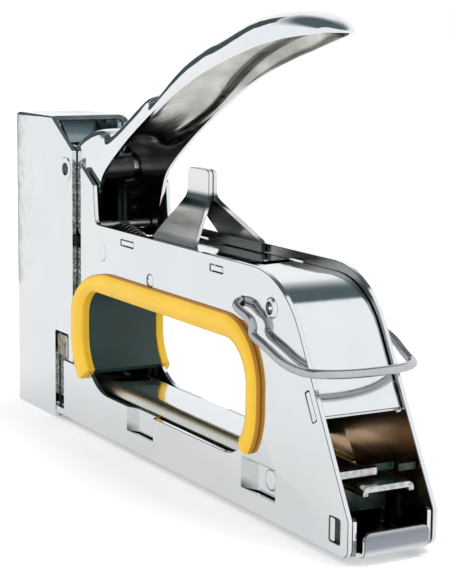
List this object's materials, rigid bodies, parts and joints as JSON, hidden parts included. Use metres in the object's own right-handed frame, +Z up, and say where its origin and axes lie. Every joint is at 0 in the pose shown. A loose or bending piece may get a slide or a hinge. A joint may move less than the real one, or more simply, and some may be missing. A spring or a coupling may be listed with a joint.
{
  "type": "staple gun",
  "caption": "All-steel hand staple gun: sprung squeeze lever over a deep nose, hand hole with yellow plastic trim, wire locking bail, rear-loading staple magazine.",
  "frame": {"origin": "middle of the overall length and width, at the height of the nose foot", "axes": "+X from the nose to the heel, +Y to the tool's right side, +Z up; the nose is at -X"},
  "size_m": [0.1962, 0.0318, 0.1251],
  "materials": {
    "chrome": "bright plated, mirror",
    "steel": "plain steel",
    "dark_steel": "oiled dark steel",
    "yellow_trim": "satin yellow",
    "slate_liner": "satin slate green",
    "rubber": "matt black"
  },
  "bodies": {
    "frame": {"side_plate_left": "chrome", "side_plate_right": "chrome", "nose_cap": "chrome", "grip_trim_left": "yellow_trim", "grip_trim_right": "yellow_trim", "grip_liner": "slate_liner", "driver_housing": "steel", "spring_bracket": "steel", "front_guide": "steel", "bumper": "rubber", "nose_key": "steel", "pivot_pin": "steel", "anchor_pin": "steel", "rear_cross_pin": "steel", "top_cover": "chrome", "handle_stop": "chrome", "magazine_housing": "chrome", "base_tray": "chrome", "catch_bar": "chrome", "power_spring": "dark_steel", "return_spring": "steel"},
    "handle": {"handle_shell": "chrome", "lift_fork": "dark_steel", "spring_hook_pin": "steel"},
    "driver": {"plunger": "dark_steel", "driver_blade": "steel"},
    "bail": {"bail": "chrome"},
    "pusher": {"pull_tab": "chrome", "pusher_rod": "steel", "follower_spring": "steel"},
    "follower": {"follower": "dark_steel"}
  },
  "joints": [
    {"name": "lever_hinge", "type": "hinge", "parent": "frame", "child": "handle", "pos_m": [-0.05915, 0, 0.0778], "axis": [0, 1, 0], "range_deg": [0, 17.7], "stiffness_Nm_per_rad": 2, "springref_deg": -20.05, "deforming": ["return_spring"]},
    {"name": "driver_slide", "type": "slide", "parent": "frame", "child": "driver", "axis": [0, 0, 1], "range_m": [0, 0.0089], "deforming": ["power_spring"]},
    {"name": "bail_hinge", "type": "hinge", "parent": "frame", "child": "bail", "pos_m": [0.04675, 0, 0.054], "axis": [0, -1, 0], "range_deg": [0, 100]},
    {"name": "pusher_slide", "type": "slide", "parent": "frame", "child": "pusher", "axis": [1, 0, 0], "range_m": [0, 0.11]},
    {"name": "follower_slide", "type": "slide", "parent": "pusher", "child": "follower", "axis": [1, 0, 0], "range_m": [0, 0.1], "stiffness_N_per_m": 30, "springref_m": -0.06, "deforming": ["follower_spring"]}
  ],
  "couplings": [
    {"joint": "driver_slide", "follows": "lever_hinge", "m_per_rad": 0.0288}
  ]
}
